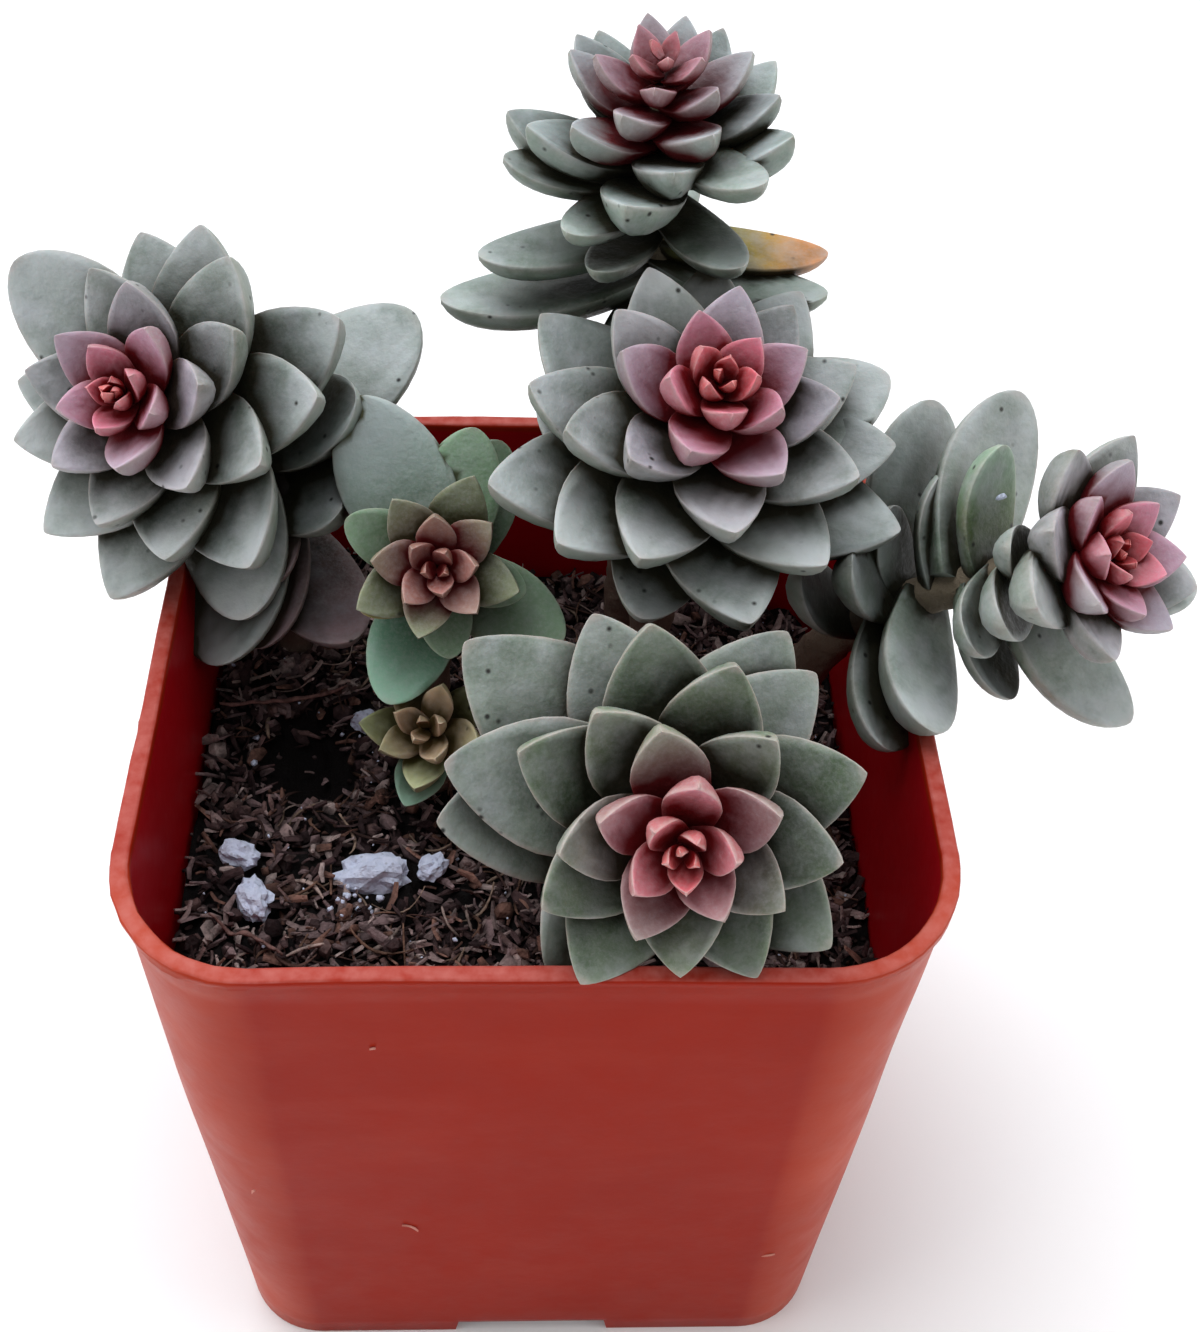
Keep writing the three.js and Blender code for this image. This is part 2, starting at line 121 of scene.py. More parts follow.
# Shoots. The stem leaves the soil at root, runs rise upward and comes to the apex along the
# axis over reach. Leaf number i of the rosette, counted from the innermost, is turned by
# start + i * turn about the stem and sits down[0] + down[1] * i below the apex. Its length
# and its lean from the stem go from the first value towards the last, and each pace is the
# number of leaves that this takes. The first leaves, up to heart, make the coloured heart.
# Old leaves stand singly further down: distance below the apex, turn, lean, length and look.
# Blade gives the width of the innermost, the outer and the old leaves as a share of their
# length, and how blunt the old ones are, from 0 for pointed to 1 for round.
SHOOTS = {
    "top": {
        "root": (7.5, 20, 38), "apex": (7.7, 22.3, 91.5), "axis": (-0.072, -0.235, 0.969),
        "rise": 16, "reach": 26, "start": 138.7, "turn": 139.81,
        "length": (1.4, 20.3, 35), "lean": (40.5, 69.1, 9.6), "down": (0.58, 0.351),
        "heart": 17, "rosette": 27, "blade": (0.6, 0.52, 0.4, 0.8), "palette": "mauve",
        "old": [
            (6.6, 305, 75, 11.3), (9.6, 192, 77, 11.4), (9.8, 231, 81, 11), (11.6, 297, 83, 11.3),
            (14.7, 356, 96, 12.5, "yellow"), (16.5, 333, 90, 13.2), (13.3, 200, 90, 13.8),
            (16.8, 198, 92, 16.5), (12.8, 240, 83, 10.4), (15, 80, 92, 12), (19, 250, 95, 11),
        ],
    },
    "centre": {
        "root": (8, 9, 38), "apex": (11.3, 2.8, 80), "axis": (0.063, -0.474, 0.878),
        "rise": 7.2, "reach": 28.6, "start": 159, "turn": 138.76,
        "length": (1.1, 29.3, 51.6), "lean": (18.4, 93.2, 16.4), "down": (0.57, 0.32),
        "heart": 15, "rosette": 36, "blade": (0.78, 0.57, 0.57, 0.6), "palette": "grey",
        "old": [
            (9.6, 22, 86, 14.4), (12.6, 252, 90, 12.5), (14, 150, 95, 12),
        ],
    },
    "left": {
        "root": (-19.5, 13, 40), "apex": (-28.4, 7.2, 74.7), "axis": (-0.329, -0.706, 0.627),
        "rise": 6, "reach": 28.6, "start": 283.9, "turn": -138.77,
        "length": (-0.8, 25.8, 41.5), "lean": (2, 98.3, 16.8), "down": (0.57, 0.274),
        "heart": 15, "rosette": 36, "blade": (0.74, 0.6, 0.6, 0.8), "palette": "grey",
        "old": [
            (6.2, 134, 82, 14.4), (15.2, 33, 96, 17.1), (15.3, 2, 76, 12.3, "pale"),
            (12.8, 280, 99, 14.4), (16.8, 261, 104, 16.3, "pale"), (19.3, 270, 112, 14, "purple"),
            (15.2, 288, 103, 11.7, "purple"), (25, 298, 114, 12.8, "purple"), (17.4, 323, 84, 11.9),
        ],
    },
    "right": {
        "root": (20.5, 10, 35.5), "apex": (36.6, -5.8, 73.5), "axis": (0.544, -0.513, 0.663),
        "rise": 11.5, "reach": 30, "start": 209.7, "turn": -137.15,
        "length": (0.8, 17.6, 34.1), "lean": (16.3, 86.2, 12.7), "down": (1.09, 0.113),
        "heart": 16, "rosette": 23, "blade": (0.8, 0.62, 0.57, 0.85), "palette": "grey",
        "old": [
            (11.2, 107, 69, 9, "drop"), (15.8, 99, 71, 8.6), (19.6, 176, 64, 9.6),
            (25.1, 174, 62, 9.2), (19.3, 131, 63, 7.8), (18.8, 89, 82, 14.6), (13.4, 78, 80, 14.2),
            (12.5, 282, 86, 8.4), (17.5, 251, 72, 11.8), (20, 254, 82, 12), (8.7, 303, 77, 12.4),
            (2.9, 351, 82, 9.3), (6.1, 180, 70, 7), (7.4, 217, 70, 8.4), (10.6, 234, 76, 7.6),
        ],
    },
    "front": {
        "root": (4, -9, 37), "apex": (7.8, -26.3, 68.7), "axis": (-0.102, -0.86, 0.5),
        "rise": 7, "reach": 22, "start": 111.7, "turn": -138.99,
        "length": (0.9, 21.2, 32.5), "lean": (16.8, 86.8, 13.7), "down": (0.86, 0.363),
        "heart": 14, "rosette": 28, "blade": (0.66, 0.6, 0.6, 0.3), "palette": "olive",
        "old": [
            (10.5, 169, 88, 14.5), (14, 183, 88, 14.7), (11.6, 43, 93, 12.4), (12.1, 114, 95, 13.2),
            (12.1, 232, 86, 12.8), (12.9, 58, 91, 13.4), (13.2, 140, 95, 16.7),
        ],
    },
    "small": {
        "root": (-9, 8, 40), "apex": (-7, 1.2, 64.9), "axis": (0.016, -0.799, 0.6),
        "rise": 4.2, "reach": 17.2, "start": 333.5, "turn": -137.66,
        "length": (1.4, 13.9, 27.6), "lean": (18, 93.8, 10.2), "down": (0.58, 0.128),
        "heart": 12, "rosette": 16, "blade": (0.7, 0.6, 0.6, 0.7), "palette": "green",
        "old": [
            (3.4, 154, 88, 7.1), (7.6, 249, 92, 10.3, "bright"), (6.1, 76, 87, 10.3),
            (4.1, 343, 88, 6.4), (6, 331, 92, 10.3), (3.5, 210, 85, 6.3, "yellowish"),
            (4.6, 277, 86, 6.6), (6.7, 107, 89, 9), (8.8, 66, 84, 10.9), (5.3, 117, 93, 13.5, "pale"),
        ],
    },
    "tiny": {
        "root": (-7.6, 1.5, 41), "apex": (-8.1, -2.6, 52.8), "axis": (-0.2, -0.65, 0.73),
        "rise": 4, "reach": 5, "start": 100, "turn": 137.5,
        "length": (1.6, 7.5, 9), "lean": (15, 85, 8), "down": (0.5, 0.3),
        "heart": 0, "rosette": 12, "blade": (0.6, 0.6, 0.66, 0.3), "palette": "young",
        "old": [(4.2, 250, 87, 5.7, "bright")],
    },
}

# Small random differences between leaves
LEAF_SPREAD = {"turn": 2.5, "lean": 2.5, "length": 0.03}

# Number of rosette leaves over which the colour goes from the heart's to the oldest
ROSETTE_SPAN = 32

# Leaf colours from the heart outward: share of the way out, and the colour there
PALETTES = {
    "grey": [
        (0.0, "#d4605f"), (0.14, "#ce6068"), (0.26, "#c26b7d"), (0.38, "#ac7f92"),
        (0.5, "#9c939f"), (0.7, "#979b9a"), (1.0, "#969d9b"),
    ],
    "mauve": [
        (0.0, "#b9646a"), (0.1, "#b3707a"), (0.22, "#a17a86"), (0.34, "#92828a"),
        (0.46, "#94999c"), (0.7, "#949f9e"), (1.0, "#949f99"),
    ],
    "olive": [
        (0.0, "#d4605f"), (0.16, "#c6626a"), (0.28, "#ab6d76"), (0.4, "#887270"),
        (0.52, "#717a66"), (0.8, "#6c7b64"), (1.0, "#7f887f"),
    ],
    "green": [
        (0.0, "#a16257"), (0.2, "#96665d"), (0.3, "#866c5f"), (0.42, "#73785b"),
        (1.0, "#70896e"),
    ],
    "young": [
        (0.0, "#d0aa8a"), (0.15, "#c0a586"), (0.3, "#a5a87a"), (1.0, "#8aa873"),
    ],
}
# Strength of the pale leaf rim and tip: partly the leaf's own pale edge, partly painted highlight
RIM_AND_HIGHLIGHT_STRENGTH = {"grey": 0.45, "mauve": 0.4, "olive": 0.9, "green": 0.35, "young": 0.3}
# Crimson towards the base of young leaves: partly their own colour, partly painted shade round the
# heart
BLUSH_AND_SHADE = "#863a43"
BLUSH_AND_SHADE_STRENGTH = {"grey": 0.7, "mauve": 0.5, "olive": 0.75, "green": 0.3, "young": 0.1}
LOOKS = {
    "yellow": ("#b0a036", "#cf8a52"),
    "yellowish": ("#8a8a50", "#a09a5c"),
    "bright": ("#62907a", "#86b098"),
    "pale": ("#8b9a94", "#a3aeac"),
    "purple": ("#75585c", "#9a8084"),
    "drop": ("#66754e", "#8fa894"),
}

# Colours of the leaves' skin, the stems, the plastic, the perlite and the mix
SKIN = {
    "rubbed": "#7c9079", "bloom": "#b5b6bd", "powder": "#b9b9bd", "rim": "#c4b7b0",
    "speck": "#2e2e2b", "leaf_shade": "#50493a", "young_shade": "#736c4a",
    "heart_shade": "#962a30", "stem": "#6b5f52", "young_stem": "#6a604c", "old_stem_and_shade": "#56362d",
}
PLASTIC = {
    # corner: lighter colour of the rounded corners, a painted reflection
    "side": "#991f07", "corner": "#b64428", "cloud": "#881805", "streak": "#b04330",
    # inside: deeper red inside the pot, painted red reflected light
    # lip and rubbed: lighter edges and lip top, painted highlight
    "scuff": "#e09a8a", "inside": "#a60a16", "lip": "#a83a2b", "rubbed": "#c2756d",
    "burr": "#e7a898",
}
WHITE = {"light": "#ebf0ff", "grey": "#b7c2e0", "pit": "#7c7a88"}
GRAIN_TINT = (0.7, 0.7, 0.75)
# deep: near-black body of the mix, partly its own dark colour, partly painted shade of the gaps
# between the bits
EARTH = {"deep": "#080505", "dark": "#120c0b"}
BARK = ["#2f2223", "#463535", "#6a5350", "#8b7673", "#b09c97", "#4a3838", "#7c5b50", "#7d6868"]
FIBRE = ["#6a4f42", "#4c3630", "#8a7566", "#3b2a26", "#9c8880"]

# White bead on a leaf: share of the leaf's length, height over its middle and radius
DROP = {"share": 0.62, "lift": 0.32, "radius": 0.38}

# Shade between neighbouring leaves: rays from each point, how far they look and start away
SHADE = {"rays": 14, "reach": 9, "lift": 0.12}

# Camera, solved from the pot's rim and foot in the photograph
CAMERA = {
    "place": (-1.386, -83.732, 144.753),
    "right": (0.99887, -0.02720, 0.03888),
    "up": (-0.00707, 0.72500, 0.68871),
    "lens": 46.35, "sensor": 36.0,
}

# Soft lights: place and size in metres, power in watts and colour
LIGHTS = {
    "sky_light": ((-0.16, 0.24, 0.75), 0.7, 6.6, (0.95, 0.97, 1.0)),
    "left_fill": ((-0.6, -0.15, 0.25), 0.4, 1.1, (1.0, 0.96, 0.92)),
    "right_fill": ((0.6, -0.1, 0.3), 0.4, 1.3, (1.0, 0.95, 0.9)),
}
LIGHT_AIM = (0, 0, 0.055)
SKY = {"colour": (0.93, 0.96, 1, 1), "strength": 0.5}
FLOOR_HALF = 3.0


# Colours and small sums

def linear(code):
    """Linear colour of a hex colour."""
    parts = [int(code[i : i + 2], 16) / 255 for i in (1, 3, 5)]
    return np.array([p / 12.92 if p <= 0.04045 else ((p + 0.055) / 1.055) ** 2.4 for p in parts])


def settle(values, count):
    """Move from first to last, fast at the start and slower later."""
    first, last, pace = values
    return last - (last - first) * math.exp(-count / pace)


def leaf_random(seed):
    """Random numbers from 0 to 1, the same as in the part's source."""
    state = seed
    while True:
        state = (state * 1664525 + 1013904223) % 4294967296
        yield state / 4294967296


def flat_turn(degrees):
    """Rotation about the vertical."""
    return np.array(Matrix.Rotation(math.radians(degrees), 3, "Z"))


def smooth_step(low, high, value):
    """0 below low, 1 above high and a smooth rise between them."""
    share = np.clip((value - low) / (high - low), 0, 1)
    return share * share * (3 - 2 * share)


def blend_colours(stops, share):
    """Colour at a share of the way along the stops."""
    places = [stop[0] for stop in stops]
    colours = np.array([linear(stop[1]) for stop in stops])
    return np.stack([np.interp(share, places, colours[:, c]) for c in range(3)], axis=-1)


# Placing pieces in the frame

def pot_middle():
    """Middle of the pot's foot in the frame, in metres."""
    low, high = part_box("pot")
    return np.array([(low.x + high.x) / 2, (low.y + high.y) / 2, 0])


ORIGIN = pot_middle()


def to_frame(points):
    """Millimetres from the middle of the pot's foot to metres in the frame."""
    return np.asarray(points, float) * MM + ORIGIN


def link(made):
    """Put an object into the scene."""
    bpy.context.scene.collection.objects.link(made)
    return made


class Mesher:
    """Collects points in millimetres, faces and point colours of one piece."""

    def __init__(self):
        self.points, self.faces, self.tints, self.rims = [], [], [], []
        self.count = 0

    def add(self, points, faces, tint, rim=None):
        """Add one closed body."""
        points = np.asarray(points, float).reshape(-1, 3)
        self.faces.extend([tuple(index + self.count for index in face) for face in faces])
        self.points.append(points)
        self.tints.append(np.broadcast_to(np.asarray(tint, float), (len(points), 3)))
        self.rims.append(np.zeros(len(points)) if rim is None else np.asarray(rim, float))
        self.count += len(points)

    def piece(self, name, material, slot=None, replaces=(), smooth=True):
        """Make the object that rides on the frame."""
        mesh = bpy.data.meshes.new(name)
        mesh.from_pydata(to_frame(np.concatenate(self.points)).tolist(), [], self.faces)
        mesh.polygons.foreach_set("use_smooth", [smooth] * len(mesh.polygons))
        tint = mesh.attributes.new("tint", "FLOAT_COLOR", "POINT")
        colours = np.ones((self.count, 4))
        colours[:, :3] = np.concatenate(self.tints)
        tint.data.foreach_set("color", colours.ravel())
        rim = mesh.attributes.new("rim", "FLOAT", "POINT")
        rim.data.foreach_set("value", np.concatenate(self.rims))
        mesh.materials.append(material)
        mesh.update()
        piece = link(bpy.data.objects.new(name, mesh))
        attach(piece, "root")
        if replaces:
            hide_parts(*replaces)
        return piece


def scattered_directions(count):
    """Directions spread evenly over a sphere."""
    heights = [1 - (2 * index + 1) / count for index in range(count)]
    turns = [index * math.pi * (3 - math.sqrt(5)) for index in range(count)]
    return [
        Vector((math.sqrt(1 - h * h) * math.cos(t), math.sqrt(1 - h * h) * math.sin(t), h))
        for h, t in zip(heights, turns)
    ]


def add_shade(pieces, others):
    """Store on the points of the pieces how deep they lie between their neighbours."""
    points, faces = [], []
    for piece in pieces + others:
        offset = len(points)
        points.extend(piece.matrix_world @ vertex.co for vertex in piece.data.vertices)
        faces.extend([index + offset for index in face.vertices] for face in piece.data.polygons)
    tree = BVHTree.FromPolygons(points, faces)
    directions = scattered_directions(SHADE["rays"])
    reach, lift = SHADE["reach"] * MM, SHADE["lift"] * MM
    for piece in pieces:
        depths = []
        turn = piece.matrix_world.to_3x3()
        for vertex in piece.data.vertices:
            normal = (turn @ vertex.normal).normalized()
            start = piece.matrix_world @ vertex.co + normal * lift
            covered = 0
            for direction in directions:
                way = (normal * 1.05 + direction).normalized()
                distance = tree.ray_cast(start, way, reach)[3]
                covered += 0 if distance is None else 1 - distance / reach
            depths.append(covered / len(directions))
        shade = piece.data.attributes.new("shade", "FLOAT", "POINT")
        shade.data.foreach_set("value", depths)


def ring_faces(rings, size, offset=0):
    """Faces of a stack of equal rings, capped at both ends."""
    faces = []
    for ring in range(rings - 1):
        for side in range(size):
            a = offset + ring * size + side
            b = offset + ring * size + (side + 1) % size
            faces.append((a, b, b + size, a + size))
    last = offset + (rings - 1) * size
    faces.append(tuple(range(offset + size - 1, offset - 1, -1)))
    faces.append(tuple(range(last, last + size)))
    return faces


# Materials

class Shader:
    """A procedural material under construction, in metres of the frame."""

    def __init__(self, name, **surface):
        self.material = bpy.data.materials.new(name)
        self.material.use_nodes = True
        self.tree = self.material.node_tree
        self.surface = self.tree.nodes["Principled BSDF"]
        for socket, value in surface.items():
            self.surface.inputs[socket.replace("_", " ")].default_value = value
        self.place = self.node("TexCoord", {})["Object"]

    def node(self, kind, sources, **settings):
        """New node with its settings and the sources of its inputs. Gives back its outputs."""
        made = self.tree.nodes.new("ShaderNode" + kind)
        for key, value in settings.items():
            setattr(made, key, value)
        for socket, source in sources.items():
            self.feed(made.inputs[socket], source)
        return made.outputs

    def feed(self, socket, source):
        """Link a source to a socket, or set a hex colour or a plain value on it."""
        if isinstance(source, bpy.types.NodeSocket):
            self.tree.links.new(source, socket)
        else:
            socket.default_value = (*linear(source), 1) if isinstance(source, str) else source

    def attribute(self, name, output="Color"):
        """Value stored on the mesh's points."""
        return self.node("Attribute", {}, attribute_name=name)[output]

    def noise(self, size, detail=3, roughness=0.55, stretch=None):
        """Noise with features of about size millimetres."""
        place = self.place
        if stretch:
            place = self.node("Mapping", {"Vector": place, "Scale": stretch})["Vector"]
        sources = {"Vector": place, "Scale": 1 / (size * MM), "Detail": detail, "Roughness": roughness}
        return self.node("TexNoise", sources)["Fac"]

    def spots(self, spacing, radius, share):
        """1 inside scattered round spots, in a share of the cells that are spacing wide."""
        cells = self.node("TexVoronoi", {"Vector": self.place, "Scale": 1 / (spacing * MM)})
        chance = self.node("SeparateColor", {"Color": cells["Color"]})["Red"]
        inside = self.step(cells["Distance"], radius / spacing, 0.4 * radius / spacing)
        return self.times(self.step(chance, share, share - 0.02), inside)

    def step(self, value, low, high):
        """Rise from 0 at low to 1 at high."""
        return self.spread(value, low, high, 0, 1)

    def spread(self, value, low, high, to_low, to_high):
        """Map one range of a value to another."""
        sources = {
            "Value": value, "From Min": low, "From Max": high, "To Min": to_low, "To Max": to_high,
        }
        return self.node("MapRange", sources, clamp=True)["Result"]

    def times(self, first, second):
        """Product of two values."""
        return self.node("Math", {0: first, 1: second}, operation="MULTIPLY")[0]

    def mix(self, factor, first, second, how="MIX"):
        """Mix two colours."""
        sources = {0: factor, 6: first, 7: second}
        return self.node("Mix", sources, data_type="RGBA", blend_type=how)[2]

    def bump(self, height, distance, after=None):
        """Relief of a height in millimetres, on top of another one."""
        sources = {"Height": height, "Distance": distance * MM}
        if after:
            sources["Normal"] = after
        return self.node("Bump", sources)["Normal"]

    def finish(self, colour, roughness, normal):
        """Join the sources to the surface."""
        self.feed(self.surface.inputs["Base Color"], colour)
        self.feed(self.surface.inputs["Roughness"], roughness)
        self.feed(self.surface.inputs["Normal"], normal)
        return self.material


def leaf_material(name, bloom, speck, deep):
    """Fleshy leaf with a powdery bloom, rubbed greener patches, a pale rim that is partly painted
    highlight, dark specks and deep shade.
    """
    shader = Shader(name, Specular_IOR_Level=0.3, Subsurface_Weight=0.06, Subsurface_Scale=0.001)
    tint = shader.attribute("tint")
    rubbed = shader.spread(shader.noise(4.2, 4, 0.6), 0.44, 0.64, 0, 1.3 * bloom)
    colour = shader.mix(rubbed, tint, SKIN["rubbed"], "MULTIPLY")
    patches = shader.spread(shader.noise(2.4, 4), 0.42, 0.7, 0, 0.8 * bloom)
    colour = shader.mix(patches, colour, SKIN["bloom"])
    powder = shader.spread(shader.noise(0.28, 4, 0.7), 0.42, 0.7, 0, 0.22)
    colour = shader.mix(powder, colour, SKIN["powder"])
    # Pale rim and tip: partly the leaf's own pale edge, partly painted highlight
    edge = shader.spread(shader.noise(1.1), 0.3, 0.7, 0.3, 0.75)
    rim = shader.times(shader.attribute("rim", "Fac"), edge)
    colour = shader.mix(rim, colour, SKIN["rim"])
    crowd = shader.step(shader.noise(5.5, 1), 0.5, 0.56)
    specks = shader.times(shader.spots(1.15, 0.24, speck), crowd)
    colour = shader.mix(specks, colour, SKIN["speck"])
    depth = shader.spread(shader.attribute("shade", "Fac"), 0.08, 0.6, 0, 1)
    colour = shader.mix(depth, colour, deep, "MULTIPLY")
    roughness = shader.spread(powder, 0, 0.22, 0.42, 0.64)
    normal = shader.bump(shader.noise(0.35, 3, 0.6), 0.05)
    normal = shader.bump(shader.noise(1.8, 2), 0.14, normal)
    return shader.finish(colour, roughness, normal)


def stem_material():
    """Woody stem."""
    shader = Shader("stem_skin", Specular_IOR_Level=0.3)
    colour = shader.mix(shader.noise(0.9, 4), shader.attribute("tint"), SKIN["stem"])
    normal = shader.bump(shader.noise(0.5, 4, 0.7), 0.25)
    return shader.finish(colour, 0.72, normal)


def plastic_material():
    """Moulded red plastic with faint streaks and scuffs, a lighter lip and edges that are painted
    highlight, and a deeper red inside that is painted reflected light.
    """
    shader = Shader("red_plastic", Specular_IOR_Level=0.06)
    cloud = shader.spread(shader.noise(18, 2), 0.3, 0.7, 0, 0.5)
    base = shader.mix(cloud, shader.attribute("tint"), PLASTIC["cloud"])
    streak = shader.spread(shader.noise(5, 5, 0.65, (0.4, 0.4, 1.6)), 0.5, 0.8, 0, 0.18)
    base = shader.mix(streak, base, PLASTIC["streak"])
    scuff = shader.spots(5.2, 0.2, 0.1)
    base = shader.mix(shader.times(scuff, 0.7), base, PLASTIC["scuff"])
    place = shader.attribute("rim", "Fac")
    # Deeper red inside the pot: painted red reflected light
    base = shader.mix(shader.step(place, -0.1, -0.6), base, PLASTIC["inside"])
    # Painted highlight: a little lighter on the pot's edges and lip, and lighter in patches on the
    # lip's top
    base = shader.mix(shader.spread(place, 0.1, 0.5, 0, 0.2), base, PLASTIC["lip"])
    rubbed = shader.spread(shader.noise(1.2, 3), 0.3, 0.7, 0.1, 0.55)
    lip_highlight = shader.times(shader.step(place, 0.6, 1), rubbed)
    base = shader.mix(lip_highlight, base, PLASTIC["rubbed"])
    roughness = shader.spread(shader.noise(3, 3), 0.3, 0.7, 0.3, 0.42)
    normal = shader.bump(shader.noise(1.1, 3), 0.02)
    normal = shader.bump(shader.noise(12, 2), 0.1, normal)
    return shader.finish(base, roughness, normal)


def soil_material():
    """Dark crumbly potting mix."""
    shader = Shader("potting_mix", Specular_IOR_Level=0.12)
    dark = shader.spread(shader.noise(0.6, 4, 0.7), 0.4, 0.75, 0, 0.75)
    colour = shader.mix(dark, shader.attribute("tint"), EARTH["dark"])
    normal = shader.bump(shader.noise(0.3, 4, 0.7), 0.2)
    return shader.finish(colour, shader.spread(dark, 0, 0.8, 0.55, 0.85), normal)


def perlite_material():
    """White lumpy perlite with small pits."""
    shader = Shader("perlite_grain", Specular_IOR_Level=0.4)
    colour = shader.mix(shader.noise(0.5, 4, 0.7), WHITE["light"], WHITE["grey"])
    pit = shader.spots(0.45, 0.14, 0.5)
    colour = shader.mix(shader.times(pit, 0.5), colour, WHITE["pit"])
    normal = shader.bump(shader.noise(0.3, 4, 0.7), 0.25)
    return shader.finish(colour, 0.8, normal)


# Pot

def perimeter():
    """Places round the pot: quarter, kind and share of the corner or of the straight side."""
    notch, apart = POT["notch_share"], SIDE["notch_edge"]
    edges = [-notch - apart, -notch + apart, notch - apart, notch + apart]
    spaced = [SIDE["first"] + SIDE["step"] * step for step in range(SIDE["count"])]
    places = []
    for quarter in range(4):
        for step in range(POT["corner_steps"] + 1):
            places.append((quarter, "corner", step / POT["corner_steps"]))
        places.extend((quarter, "side", share) for share in sorted(spaced + edges))
    return places


PERIMETER = perimeter()


def wall_ring(z, inset):
    """Outline of the tapered wall at height z, moved inward by inset: a rounded square."""
    share = z / POT["height"]
    wall_top = POT["rim_width"] - 2 * POT["lip_overhang"]
    width = POT["foot_width"] + (wall_top - POT["foot_width"]) * share - 2 * inset
    top_corner = POT["rim_corner"] - POT["lip_overhang"]
    corner = POT["foot_corner"] + (top_corner - POT["foot_corner"]) * share - inset
    reach = width / 2 - corner
    points = []
    for quarter, kind, share in PERIMETER:
        if kind == "corner":
            angle = share * math.pi / 2
            x, y = reach + corner * math.cos(angle), reach + corner * math.sin(angle)
        else:
            x, y = -share * reach, reach + corner
        turned = Matrix.Rotation(quarter * math.pi / 2, 2) @ Vector((x, y))
        notched = z <= POT["foot_round"] and kind == "side" and abs(share) < POT["notch_share"]
        points.append((turned.x, turned.y, POT["notch_height"] if notched else z))
    return np.array(points)


def lip_round(inset, height, start, end):
    """Quarter turn of the lip's edge, as pairs of inset and height."""
    bend = POT["lip_round"]
    turns = np.radians(np.linspace(start, end, POT["round_steps"]))
    return [(inset + bend * math.cos(turn), height + bend * math.sin(turn)) for turn in turns]


def pot_profile():
    """Height, inset and place of each ring of the pot.

    It runs from the middle of the underside round to the inner floor. The place is 0 outside,
    0.2 and 0.3 at the edges, 1 on the lip and -1 inside.
    """
    top, wall, out, bend = (POT[key] for key in ("height", "wall", "lip_overhang", "lip_round"))
    lip_under, foot, floor = top - POT["lip_height"], POT["foot_round"], POT["floor_top"]
    outer = np.arange(2.3, lip_under - 0.4, POT["wall_step"])
    inner = np.arange(top - 1, floor + 1.5, -POT["inner_step"])
    lip = lip_round(-out, lip_under, 0, 90)
    lip += lip_round(bend - out, top - bend, 180, 90)
    lip += lip_round(wall - bend, top - bend, 90, 0)
    return [
        (POT["floor_under"], wall, 0), (foot, wall, 0), (0, wall - foot, 0.3), (0, foot, 0.3),
        (foot, 0, 0.2), *((z, 0, 0) for z in outer), (lip_under - 0.1, 0, 0), (lip_under, -0.1, 0),
        *((z, inset, 1 if z > top - 0.12 else 0.3) for inset, z in lip),
        *((z, wall, -1) for z in inner), (floor + 0.3, wall + 0.1, -1), (floor, wall + 0.8, -1),
    ]


def unevenness(point, kind):
    """Height of one of the moulding's waves at a point."""
    waves, depth = WAVE[kind]
    return noise.noise(Vector(point) * waves) * depth


def pot_wave(points):
    """Slight unevenness of the thin moulding, and rough flash on the lip's front left corner."""
    moved = points.copy()
    for index, (x, y, z) in enumerate(points):
        outward = np.array([x, y]) / np.hypot(x, y)
        moved[index, :2] += outward * unevenness((x, y, z), "wall") * z / POT["height"]
        if z > POT["height"] - POT["lip_height"]:
            away = (x - FLASH["at"][0]) ** 2 + (y - FLASH["at"][1]) ** 2
            rough = unevenness((x, y, z), "lip")
            rough += math.exp(-away / FLASH["spread"]) * unevenness((x, y, z), "flash")
            moved[index, :2] += outward * rough
            moved[index, 2] += rough * LIP_RISE - LIP_DROP
    return moved


def add_nicks(mesher):
    """Small pale burrs on the front of the pot."""
    rng = np.random.default_rng(21)
    for (x, z), length, turn in NICKS:
        points, faces = strip(rng, length, 0.22, 0.1, 0.3, 4)
        turned = points @ flat_turn(turn).T
        upright = np.stack([turned[:, 0], -turned[:, 2], turned[:, 1]], axis=1)
        front = wall_ring(z, 0)[:, 1].min()
        mesher.add(upright + (x, front, z), faces, linear(PLASTIC["burr"]))


def drain_cutter():
    """Five cylinders that cut the drain holes."""
    mesh = bpy.data.meshes.new("drain_cutter")
    points, faces = [], []
    sides, radius, spread = POT["drain_sides"], POT["drain_radius"], POT["drain_spread"]
    for x, y in ((0, 0), (1, 1), (-1, 1), (-1, -1), (1, -1)):
        faces += ring_faces(2, sides, len(points))
        for z in POT["drain_cut"]:
            for side in range(sides):
                angle = 2 * math.pi * side / sides
                across, along = radius * math.cos(angle), radius * math.sin(angle)
                points.append((x * spread + across, y * spread + along, z))
    mesh.from_pydata(to_frame(points).tolist(), [], faces)
    return bpy.data.objects.new("drain_cutter", mesh)


